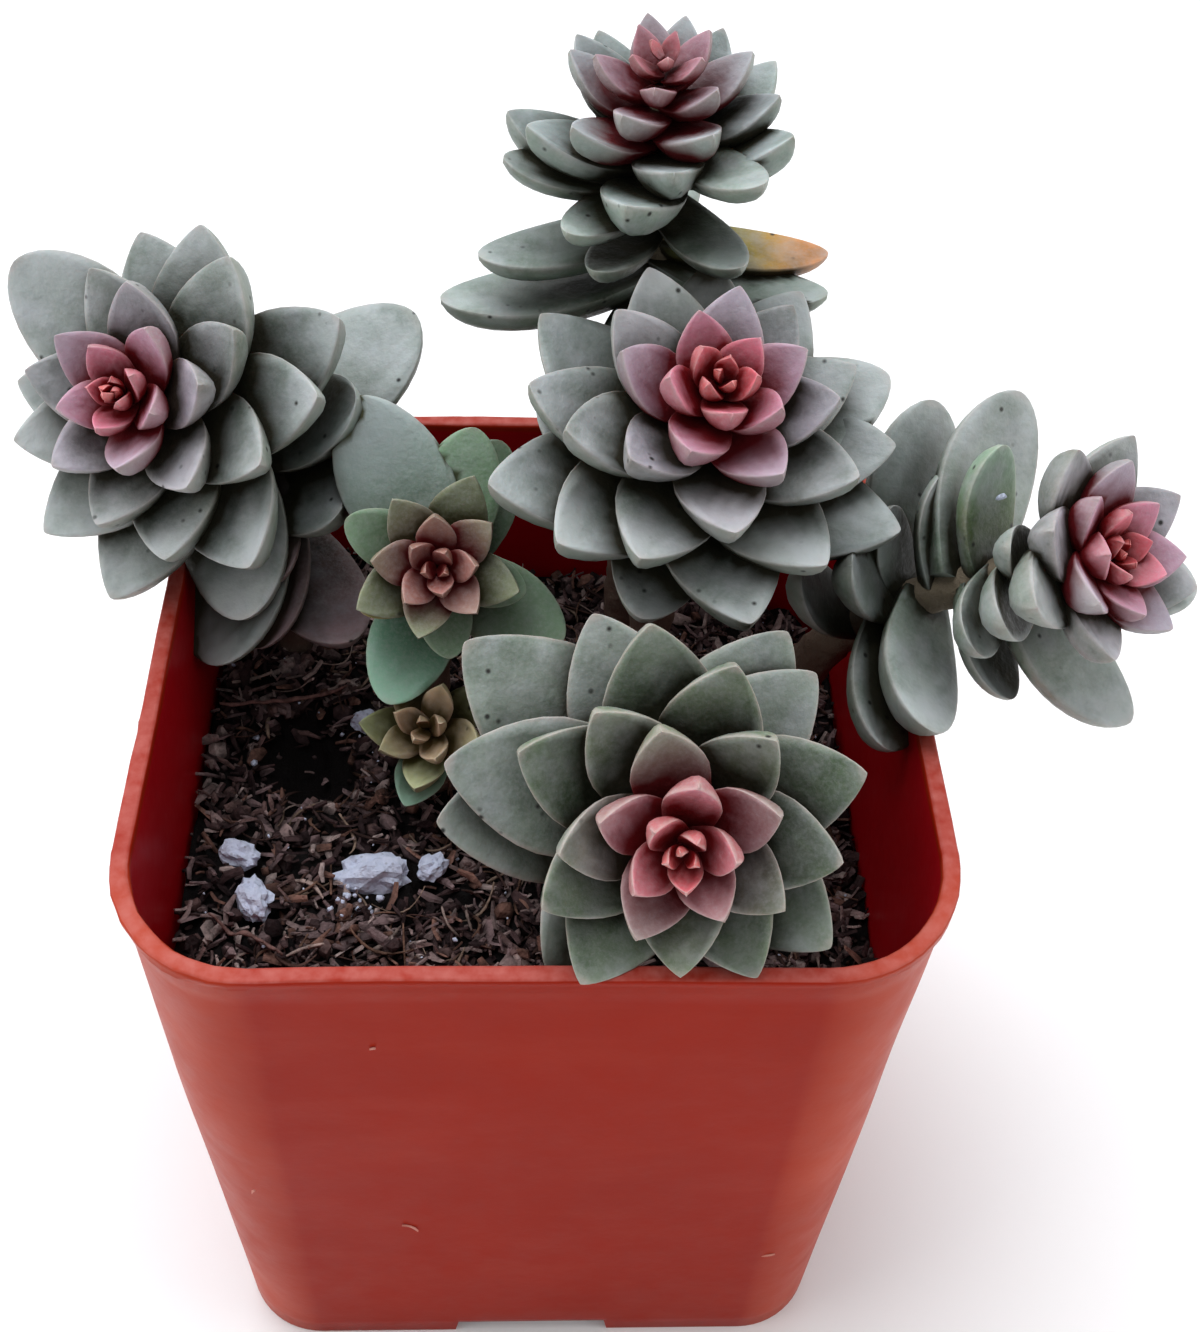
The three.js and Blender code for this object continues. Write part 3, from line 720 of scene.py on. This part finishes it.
def make_pot(material):
    """The red square nursery pot."""
    mesher = Mesher()
    profile = pot_profile()
    size = len(PERIMETER)
    points = pot_wave(np.concatenate([wall_ring(z, inset) for z, inset, _ in profile]))
    rim = np.repeat([place for _, _, place in profile], size)
    # Rounded corners are painted lighter: a painted reflection
    corner_reflection = [math.sin(math.pi * share) if kind == "corner" else 0 for _, kind, share in PERIMETER]
    side, corner = linear(PLASTIC["side"]), linear(PLASTIC["corner"])
    tint = side + (corner - side) * np.tile(corner_reflection, len(profile))[:, None] ** 0.6
    mesher.add(points, ring_faces(len(profile), size), tint, rim)
    pot = mesher.piece("pot_body", material, "pot", ["pot"])
    cutter = drain_cutter()
    cut = pot.modifiers.new("drains", "BOOLEAN")
    cut.object = cutter
    cut.solver = "EXACT"
    pot.data = bpy.data.meshes.new_from_object(
        pot.evaluated_get(bpy.context.evaluated_depsgraph_get())
    )
    pot.modifiers.clear()
    bpy.data.objects.remove(cutter)
    nicks = Mesher()
    add_nicks(nicks)
    nicks.piece("pot_nicks", material, "pot")
    return pot


# Soil

def soil_height(x, y):
    """Height of the soil's surface, as in the solids."""
    middle = 1 - (x * x + y * y) / (POT["rim_width"] ** 2 / 2)
    crumbs = 0.5 * np.sin(1.1 * x + 0.6 * y) * np.cos(0.9 * y - 0.4 * x)
    crumbs = crumbs + 0.35 * np.sin(2.1 * y + 0.5 * x) * np.sin(1.9 * x + 1)
    return SOIL["level"] - SOIL["fall_to_right"] * x - SOIL["sink_to_centre"] * middle + crumbs


def soil_relief(x, y):
    """Fine lumps on top of the soil's main surface, and the dark hollow."""
    away = math.dist((x, y), HOLLOW["at"]) / HOLLOW["radius"]
    lumps = sum(depth * noise.noise(Vector((x, y, z)) * waves) for depth, waves, z in LUMPS)
    return lumps - HOLLOW["depth"] * math.exp(-(away**4))


def soil_top(x, y):
    """Height of the soil's surface with its lumps."""
    return soil_height(x, y) + soil_relief(x, y)


def soil_base(mesher):
    """Body of the mix, filling the pot up to its rough top."""
    inset = POT["wall"] + SOIL["gap"]
    rings = [wall_ring(POT["floor_top"] + SOIL["gap"], inset)]
    rim = wall_ring(SOIL["level"], inset)
    for ring in range(SOIL["rings"] + 1):
        share = 1 - ring / (SOIL["rings"] + 0.5)
        points = rim.copy()
        points[:, :2] *= share
        for point in points:
            point[2] = soil_top(point[0], point[1])
        rings.append(points)
    # The body is near-black: partly the mix's own colour, partly painted shade of the gaps between the
    # bits
    mesher.add(np.concatenate(rings), ring_faces(len(rings), len(PERIMETER)), linear(EARTH["deep"]))


def random_turn(rng, tilt):
    """Rotation about the vertical, tipped by up to tilt degrees."""
    spin = Matrix.Rotation(rng.uniform(0, 2 * math.pi), 3, "Z")
    tip = Matrix.Rotation(math.radians(rng.uniform(-tilt, tilt)), 3, "X")
    roll = Matrix.Rotation(math.radians(rng.uniform(-tilt, tilt)), 3, "Y")
    return np.array(spin @ tip @ roll)


def inside_pot(rng, margin):
    """Random place on the soil, away from the wall by margin."""
    half = wall_ring(SOIL["level"], 0)[:, 0].max() - POT["wall"] - margin
    corner = SOIL["corner"]
    while True:
        x, y = rng.uniform(-half, half, 2)
        dx, dy = max(abs(x) - half + corner, 0), max(abs(y) - half + corner, 0)
        if dx * dx + dy * dy <= corner * corner:
            return x, y


CRUMB_FACES = [
    (0, 1, 2), (0, 2, 3), (0, 3, 4), (0, 4, 1), (5, 2, 1), (5, 3, 2), (5, 4, 3), (5, 1, 4),
]


def crumb(rng, size):
    """Small lump: an octahedron split once and pushed about."""
    corners = np.array([(0, 0, 1), (1, 0, 0), (0, 1, 0), (-1, 0, 0), (0, -1, 0), (0, 0, -1)], float)
    points, faces, middles = list(corners), [], {}

    def middle(a, b):
        key = (min(a, b), max(a, b))
        if key not in middles:
            point = (points[a] + points[b]) / 2
            middles[key] = len(points)
            points.append(point / np.linalg.norm(point))
        return middles[key]

    for a, b, c in CRUMB_FACES:
        ab, bc, ca = middle(a, b), middle(b, c), middle(c, a)
        faces += [(a, ab, ca), (ab, b, bc), (ca, bc, c), (ab, bc, ca)]
    lumps = np.array(points) * (1 + rng.uniform(-0.3, 0.25, (len(points), 1)))
    lumps *= size * rng.uniform(0.6, 1.3, 3)
    return lumps @ random_turn(rng, 90).T, faces


def strip(rng, length, width, thickness, bend, steps):
    """Bent flake or fibre: a flat bar that curves along its length."""
    rows = []
    curl = rng.uniform(-bend, bend)
    sway = rng.uniform(-bend, bend) * 0.6
    for step in range(steps + 1):
        share = step / steps
        x = (share - 0.5) * length
        lift = curl * length * (share - 0.5) ** 2 * 2
        side = sway * length * math.sin(math.pi * share)
        half = width / 2 * (0.35 + 0.65 * math.sin(math.pi * (0.12 + 0.76 * share)))
        half *= rng.uniform(0.6, 1.25)
        for y, z in ((half, 0), (half * 0.3, thickness), (-half * 0.6, thickness * 0.8), (-half, 0),
                     (0, -thickness * 0.6)):
            rows.append((x, y + side, z + lift))
    return np.array(rows), ring_faces(steps + 1, 5)


def pick(rng, codes):
    """Random colour of a list, a little lighter or darker."""
    return linear(codes[rng.integers(len(codes))]) * rng.uniform(0.75, 1.25)


def free_place(rng, margin):
    """Random place on the soil, clear of the perlite and seldom in the hollow."""
    while True:
        x, y = inside_pot(rng, margin)
        on_grain = any(
            math.hypot((x - across) / length, (y - along) / width) < 1.3
            for (across, along), (length, width, _), _ in PERLITE
        )
        in_hollow = math.dist((x, y), HOLLOW["at"]) < HOLLOW["radius"] * rng.uniform(0.7, 1.1)
        if not on_grain and not (in_hollow and rng.random() < 0.95):
            return x, y


def lay(points, rng, lift, margin, tilt, colour):
    """Lay a small body on the soil at a random place, with painted shade where it lies deep and
    lighter where it stands high.
    """
    x, y = free_place(rng, margin)
    ground = soil_top(x, y)
    placed = points @ random_turn(rng, tilt).T + (x, y, ground + lift)
    # Painted shade low down, lighter high up
    light = PAINTED_BIT_LIGHT["ground"] + PAINTED_BIT_LIGHT["rise"] * (placed[:, 2] - ground)
    return placed, colour * np.clip(light, *PAINTED_BIT_LIGHT["limits"])[:, None]


def add_twig(mesher, rng, start, end, width, colour):
    """Thin twig or dry strip along the soil between two places."""
    way = np.subtract(end, start)
    points, faces = strip(rng, 1, width, width * 0.3, 0.1, 12)
    middles = start + way * (points[:, :1] + 0.5)
    places = middles + np.array([-way[1], way[0]]) / np.linalg.norm(way) * points[:, 1:2]
    heights = np.array([soil_top(x, y) for x, y in middles])
    mesher.add(np.column_stack([places, heights + TWIG_LIFT + points[:, 2]]), faces, linear(colour))


def bark_crumb(rng):
    """Crumb with its lift, its margin from the wall and how far it may be tipped."""
    size = 0.18 + 0.6 * rng.random() ** 2.4
    return *crumb(rng, size), size * 0.4, 0.1 + size * 0.7, 20


def bark_flake(rng):
    """Flake of bark with its lift, margin and tilt."""
    length = 0.7 + 1.9 * rng.random() ** 1.5
    flake = strip(rng, length, length * rng.uniform(0.14, 0.5), 0.12, 0.18, 2)
    return *flake, rng.uniform(0.1, 0.8), 0.15 + length * 0.25, 46


def bark_fibre(rng):
    """Long fibre with its lift, margin and tilt."""
    length = rng.uniform(1.5, 5)
    return *strip(rng, length, rng.uniform(0.12, 0.35), 0.07, 0.5, 8), 0.65, 0.6 + length / 2, 25


def grain_speck(rng):
    """Speck of perlite with its lift, margin and tilt."""
    size = 0.08 + 0.17 * rng.random() ** 3
    return *crumb(rng, size), 0.8, 1.0 + size, 20


def scatter(rng, count, make, colours=None):
    """Lay many loose bits of one kind on the soil, in colours of a list or white."""
    mesher = Mesher()
    for _ in range(count):
        points, faces, lift, margin, tilt = make(rng)
        colour = pick(rng, colours) if colours else np.array(GRAIN_TINT)
        placed, tint = lay(points, rng, lift, margin, tilt, colour)
        mesher.add(placed, faces, tint)
    return mesher


def make_soil(material):
    """Potting mix with crumbs, bark flakes and fibres on top."""
    rng = np.random.default_rng(11)
    base = Mesher()
    soil_base(base)
    body = base.piece("soil_body", material, "soil", ["soil"])
    crumbs = scatter(rng, SOIL["crumbs"], bark_crumb, BARK)
    crumbs.piece("soil_crumbs", material, "soil", smooth=False)
    flakes = scatter(rng, SOIL["flakes"], bark_flake, BARK)
    flakes.piece("soil_flakes", material, "soil", smooth=False)
    fibres = scatter(rng, SOIL["fibres"], bark_fibre, FIBRE)
    for twig in TWIGS:
        add_twig(fibres, rng, *twig)
    fibres.piece("soil_fibres", material, "soil")
    return body


def perlite_grain(index, place, half, turn):
    """Rough lump in the place of one of the solids."""
    ball = bmesh.new()
    bmesh.ops.create_icosphere(ball, subdivisions=3, radius=1)
    points = []
    for vertex in ball.verts:
        spot = vertex.co + Vector((index * 9.1, 0, 0))
        swell = 1 + 0.35 * noise.noise(spot * 1.5) + 0.3 * noise.noise(spot * 3.7)
        points.append(np.array(vertex.co) * swell * half)
    faces = [tuple(vertex.index for vertex in face.verts) for face in ball.faces]
    ball.free()
    centre = (*place, soil_height(*place) + half[2] * 0.45 + PERLITE_LIFT)
    return points @ flat_turn(turn).T + centre, faces


def make_perlite(material):
    """Perlite: five lumps in place of the solids, and small specks."""
    rng = np.random.default_rng(5)
    for index, grain in enumerate(PERLITE):
        mesher = Mesher()
        mesher.add(*perlite_grain(index, *grain), GRAIN_TINT)
        name = f"perlite_{index + 1}"
        mesher.piece(name + "_grain", material, "perlite", [name], smooth=False)
    specks = scatter(rng, SOIL["specks"], grain_speck)
    for _ in range(CLUSTER["count"]):
        points, faces = crumb(rng, rng.uniform(0.12, 0.26))
        x, y = np.array(CLUSTER["at"]) + rng.normal(0, CLUSTER["spread"], 2)
        specks.add(points + (x, y, soil_top(x, y) + rng.uniform(0.6, 1.1)), faces, GRAIN_TINT)
    specks.piece("perlite_specks", material, "perlite")


# Shoots

class Stem:
    """Middle line of a shoot's stem, measured down from its apex."""

    def __init__(self, shoot):
        root, apex, axis = (np.array(shoot[key], float) for key in ("root", "apex", "axis"))
        axis /= np.linalg.norm(axis)
        root_pull = root + (0, 0, shoot["rise"])
        self.pulls = (root, root_pull, apex - axis * shoot["reach"], apex)
        self.shares = np.linspace(0, 1, 401)
        points = np.array([self.point(share) for share in self.shares])
        steps = np.linalg.norm(np.diff(points, axis=0), axis=1)
        self.travel = np.concatenate([[0], np.cumsum(steps)])
        self.length = self.travel[-1]

    def point(self, share):
        """Point of the cubic curve."""
        a, b, c, d = self.pulls
        rest = 1 - share
        return a * rest**3 + 3 * b * rest**2 * share + 3 * c * rest * share**2 + d * share**3

    def heading(self, share):
        """Direction of the cubic curve."""
        a, b, c, d = self.pulls
        rest = 1 - share
        way = (b - a) * rest**2 + 2 * (c - b) * rest * share + (d - c) * share**2
        return way / np.linalg.norm(way)

    def frame(self, down):
        """Point, direction and two cross directions at a distance down from the apex."""
        share = np.interp(self.length - down, self.travel, self.shares)
        along = self.heading(share)
        across = np.array([1.0, 0, 0]) - along * along[0]
        across /= np.linalg.norm(across)
        return self.point(share), along, across, np.cross(along, across)


def leaf_plans(shoot, seed):
    """Size, place and look of every leaf of a shoot, from the innermost outward."""
    draw = leaf_random(seed)

    def wobble():
        return 2 * next(draw) - 1

    heart_width, width, old_width, blunt = shoot["blade"]
    plans = []
    for i in range(shoot["rosette"]):
        length = max(settle(shoot["length"], i), LEAF["shortest"])
        plans.append({
            "down": shoot["down"][0] + shoot["down"][1] * i,
            "turn": shoot["start"] + shoot["turn"] * i + LEAF_SPREAD["turn"] * wobble(),
            "lean": settle(shoot["lean"], i) + LEAF_SPREAD["lean"] * wobble(),
            "length": length * (1 + LEAF_SPREAD["length"] * wobble()),
            "width": settle((heart_width, width, LEAF["width_pace"]), i),
            "droop": settle(LEAF["droop"], i),
            "blunt": settle(LEAF["blunt"], i),
            "age": i / ROSETTE_SPAN,
            "look": None,
        })
    for down, turn, lean, length, *look in shoot["old"]:
        plans.append({
            "down": down, "turn": turn, "lean": lean, "length": length, "width": old_width,
            "droop": LEAF["droop"][1], "blunt": blunt,
            "age": 1.0, "look": look[0] if look else None,
        })
    return plans


def leaf_outline(u, blunt):
    """Half width of a leaf at share u of its length, as a share of its greatest half width."""
    neck, widest = LEAF["neck"], LEAF["widest_at"]
    if u < widest:
        return neck + (1 - neck) * math.sin(math.pi / 2 * u / widest)
    past = (u - widest) / (1 - widest)
    pointed = 1 - past ** LEAF["point_power"]
    rounded = math.sqrt(1 - past ** LEAF["round_power"])
    return pointed + (rounded - pointed) * blunt


def leaf_section():
    """Shares across a leaf, over its top from side to side and back under it."""
    over = [(v, True) for v in LEAF_ACROSS] + [(-v, True) for v in reversed(LEAF_ACROSS[:-1])]
    under = [(-v, False) for v in LEAF_UNDER] + [(v, False) for v in reversed(LEAF_UNDER[:-1])]
    return over + under


SECTION = leaf_section()


def leaf_frame(stem, plan):
    """Where a leaf starts, and its directions forward, sideways and up."""
    point, along, across, third = stem.frame(plan["down"])
    turn, lean = math.radians(plan["turn"]), math.radians(plan["lean"])
    outward = across * math.cos(turn) + third * math.sin(turn)
    side = np.cross(along, outward)
    forward = outward * math.sin(lean) + along * math.cos(lean)
    return point, forward, side, np.cross(forward, side)


def add_leaf(mesher, stem, plan, palette, rng):
    """One leaf: flat or slightly hollow on top, keeled below, with a crisp rim."""
    point, forward, side, up = leaf_frame(stem, plan)
    length = plan["length"]
    widest = length * plan["width"] / 2
    bend = rng.uniform(-0.03, 0.03)
    twist = math.radians(rng.uniform(-5, 5))
    curl = rng.uniform(-0.01, 0.02)
    hollow = LEAF["hollow"] * rng.uniform(0.4, 1.6)
    points, rims, shares = [], [], []
    for u in LEAF_STATIONS:
        half = max(widest * leaf_outline(u, plan["blunt"]), 0.06)
        depth = max(2 * widest * LEAF["keel"] * math.sqrt(1 - u**5), LEAF["tip_thickness"])
        depth = min(depth, half * 2 + 0.3)
        sag = length * (-plan["droop"] * math.sin(math.pi * u) + curl * u**3)
        for v, top in SECTION:
            if top:
                z = -hollow * half * (1 - v * v) * (1 - u) ** 0.5
                z -= 0.08 * half * smooth_step(0.86, 1, abs(v))
            else:
                z = -0.08 * half - (depth - 0.08 * half) * (1 - v * v) ** 0.7
            x = half * v
            x, z = x * math.cos(twist * u) - z * math.sin(twist * u), x * math.sin(twist * u) + z
            sideways = x + bend * length * u * u
            points.append(point + forward * (length * u) + up * (z + sag) + side * sideways)
            # Pale rim and tip: partly the leaf's own pale edge, partly painted highlight
            edge = smooth_step(0.93 if top else 0.9, 1, abs(v))
            tip = smooth_step(0.94, 1.0, u)
            rims.append(max(edge, tip) * smooth_step(0.15, 0.5, u) * RIM_AND_HIGHLIGHT_STRENGTH[palette])
            shares.append((u, v, top))
    faces = ring_faces(len(LEAF_STATIONS), len(SECTION))
    mesher.add(points, faces, leaf_tint(plan, palette, shares, rng), rims)


def leaf_tint(plan, palette, shares, rng):
    """Colour of each point of a leaf, with painted shade towards its base and partly on its underside,
    and painted highlight at its tip and edges.
    """
    u, v, top = (np.array(column) for column in zip(*shares))
    if plan["look"]:
        base, tip = (linear(code) for code in LOOKS[plan["look"]])
        colour = base + (tip - base) * smooth_step(0.35, 0.95, u)[:, None]
    else:
        age = plan["age"] + 0.16 * (u - 0.62) + rng.uniform(-0.03, 0.03)
        colour = blend_colours(PALETTES[palette], np.clip(age, 0, 1))
        # Crimson towards the base of young leaves: partly own colour, partly painted shade round the
        # heart
        blush_and_shade = (1 - smooth_step(0.05, 0.55, u)) * (1 - smooth_step(0.3, 0.75, plan["age"]))
        blush_and_shade = blush_and_shade * BLUSH_AND_SHADE_STRENGTH[palette]
        colour = colour + (linear(BLUSH_AND_SHADE) - colour) * blush_and_shade[:, None]
    # Painted shade towards the base and painted highlight towards the tip and edges, on a random
    # brightness for each leaf
    rise = smooth_step(0.15, 0.9, u)
    light = rng.uniform(0.88, 1.12) * (0.53 + 0.56 * rise + 0.14 * np.abs(v))
    light = light + 0.2 * smooth_step(0.75, 1, u)
    # Greener and a little darker towards the base of older leaves: partly own colour, partly painted
    # shade
    greener = (1 - rise) * smooth_step(0.35, 0.6, plan["age"])
    colour = colour * (1 - greener[:, None] * np.array((0.14, 0.02, 0.2)))
    # Darker, greener undersides: partly own colour, partly painted shade
    under = np.where(top[:, None], (1.0, 1.0, 1.0), (0.72, 0.78, 0.68))
    return colour * light[:, None] * under


def add_stem(mesher, stem, start):
    """Bare stem with the scars of shed leaves."""
    rings, tints = [], []
    for section in range(STEM["sections"] + 1):
        down = stem.length + (start - stem.length) * section / STEM["sections"]
        point, _, across, third = stem.frame(down)
        radius = STEM["top_radius"] + (STEM["root_radius"] - STEM["top_radius"]) * down / stem.length
        for side in range(STEM["sides"]):
            angle = 2 * math.pi * side / STEM["sides"]
            x, y = math.cos(angle), math.sin(angle)
            reach = radius * (1 + 0.16 * noise.noise(Vector((x, y, down * 0.6)) * 1.6))
            rings.append(point + across * reach * x + third * reach * y)
            tints.append(down / stem.length)
    # Towards the soil the stem turns reddish brown: partly the colour of old stem, partly painted
    # shade and red reflection from the pot
    young, old = linear(SKIN["young_stem"]), linear(SKIN["old_stem_and_shade"])
    share = smooth_step(0.35, 0.8, np.array(tints))[:, None]
    mesher.add(rings, ring_faces(STEM["sections"] + 1, STEM["sides"]), young + (old - young) * share)


def add_drop(mesher, stem, plan):
    """Small white bead on top of a leaf."""
    point, forward, _, up = leaf_frame(stem, plan)
    centre = point + forward * plan["length"] * DROP["share"] + up * DROP["lift"]
    points, faces = crumb(np.random.default_rng(3), DROP["radius"])
    mesher.add(points + centre, faces, (0.8, 0.8, 0.8))


def make_shoot(name, shoot, seed, materials):
    """Heart, leaves and stem of one shoot."""
    rng = np.random.default_rng(100 + seed)
    stem = Stem(shoot)
    plans = leaf_plans(shoot, seed)
    palette = shoot["palette"]
    heart, rest = Mesher(), Mesher()
    for index, plan in enumerate(plans):
        add_leaf(heart if index < shoot["heart"] else rest, stem, plan, palette, rng)
        if plan["look"] == "drop":
            beads = Mesher()
            add_drop(beads, stem, plan)
            beads.piece(f"drop_{name}", materials["drop"])
    bare = Mesher()
    add_stem(bare, stem, plans[6]["down"] + 1)
    slot = "young_leaf" if palette in ("green", "young") else "leaf"
    pieces = [
        rest.piece(f"leaves_{name}", materials[slot], slot, [f"shoot_{name}"]),
        bare.piece(f"stem_{name}", materials["stem"], slot),
    ]
    if shoot["heart"]:
        slot, replaced = "heart_leaf", [f"heart_{name}"]
        pieces.append(heart.piece(f"rosette_heart_{name}", materials[slot], slot, replaced))
    return pieces


# Stage

def make_floor():
    """Plain pale floor."""
    mesh = bpy.data.meshes.new("floor")
    corners = [(x * FLOOR_HALF, y * FLOOR_HALF, 0) for x, y in ((-1, -1), (1, -1), (1, 1), (-1, 1))]
    mesh.from_pydata(corners, [], [(0, 1, 2, 3)])
    shader = Shader("pale_floor")
    colour = shader.mix(shader.noise(60, 2), (0.92, 0.92, 0.92, 1), (0.95, 0.95, 0.95, 1))
    mesh.materials.append(shader.finish(colour, 0.9, shader.bump(shader.noise(2), 0.02)))
    floor = link(bpy.data.objects.new("floor", mesh))


def add_light(name, place, size, power, colour):
    """Soft square light that points at the plant."""
    light = bpy.data.lights.new(name, "AREA")
    light.shape = "SQUARE"
    light.size = size
    light.energy = power
    light.color = colour
    lamp = link(bpy.data.objects.new(name, light))
    lamp.location = place
    aim = Vector(LIGHT_AIM) - Vector(place)
    lamp.rotation_euler = aim.to_track_quat("-Z", "Y").to_euler()


def make_light():
    """Soft daylight from above and behind, and a fill from both sides."""
    world = bpy.data.worlds.new("soft_sky")
    world.use_nodes = True
    sky = world.node_tree.nodes["Background"]
    sky.inputs["Color"].default_value = SKY["colour"]
    sky.inputs["Strength"].default_value = SKY["strength"]
    bpy.context.scene.world = world
    for name, (place, size, power, colour) in LIGHTS.items():
        add_light(name, place, size, power, colour)


def make_camera():
    """Camera at the photograph's place."""
    data = bpy.data.cameras.new("camera")
    data.sensor_width = CAMERA["sensor"]
    data.lens = CAMERA["lens"]
    data.clip_start, data.clip_end = 0.005, 20
    camera = link(bpy.data.objects.new("camera", data))
    right, up = Vector(CAMERA["right"]).normalized(), Vector(CAMERA["up"]).normalized()
    back = right.cross(up)
    turn = Matrix((right, up, back)).transposed().to_4x4()
    camera.matrix_world = Matrix.Translation(Vector(to_frame(CAMERA["place"]))) @ turn
    bpy.context.scene.camera = camera


def main():
    """Build the dressed plant and its stage."""
    bpy.context.scene.view_settings.view_transform = "Standard"
    materials = {
        "leaf": leaf_material("leaf_skin", 0.42, 0.5, SKIN["leaf_shade"]),
        "young_leaf": leaf_material("young_leaf_skin", 0.14, 0.1, SKIN["young_shade"]),
        "heart_leaf": leaf_material("heart_leaf_skin", 0.06, 0.0, SKIN["heart_shade"]),
        "stem": stem_material(),
        "drop": perlite_material(),
    }
    make_camera()
    make_light()
    make_floor()
    pot = make_pot(plastic_material())
    soil = make_soil(soil_material())
    make_perlite(perlite_material())
    plant = []
    for seed, (name, shoot) in enumerate(SHOOTS.items(), start=1):
        plant += make_shoot(name, shoot, seed, materials)
    add_shade(plant, [pot, soil])


main()
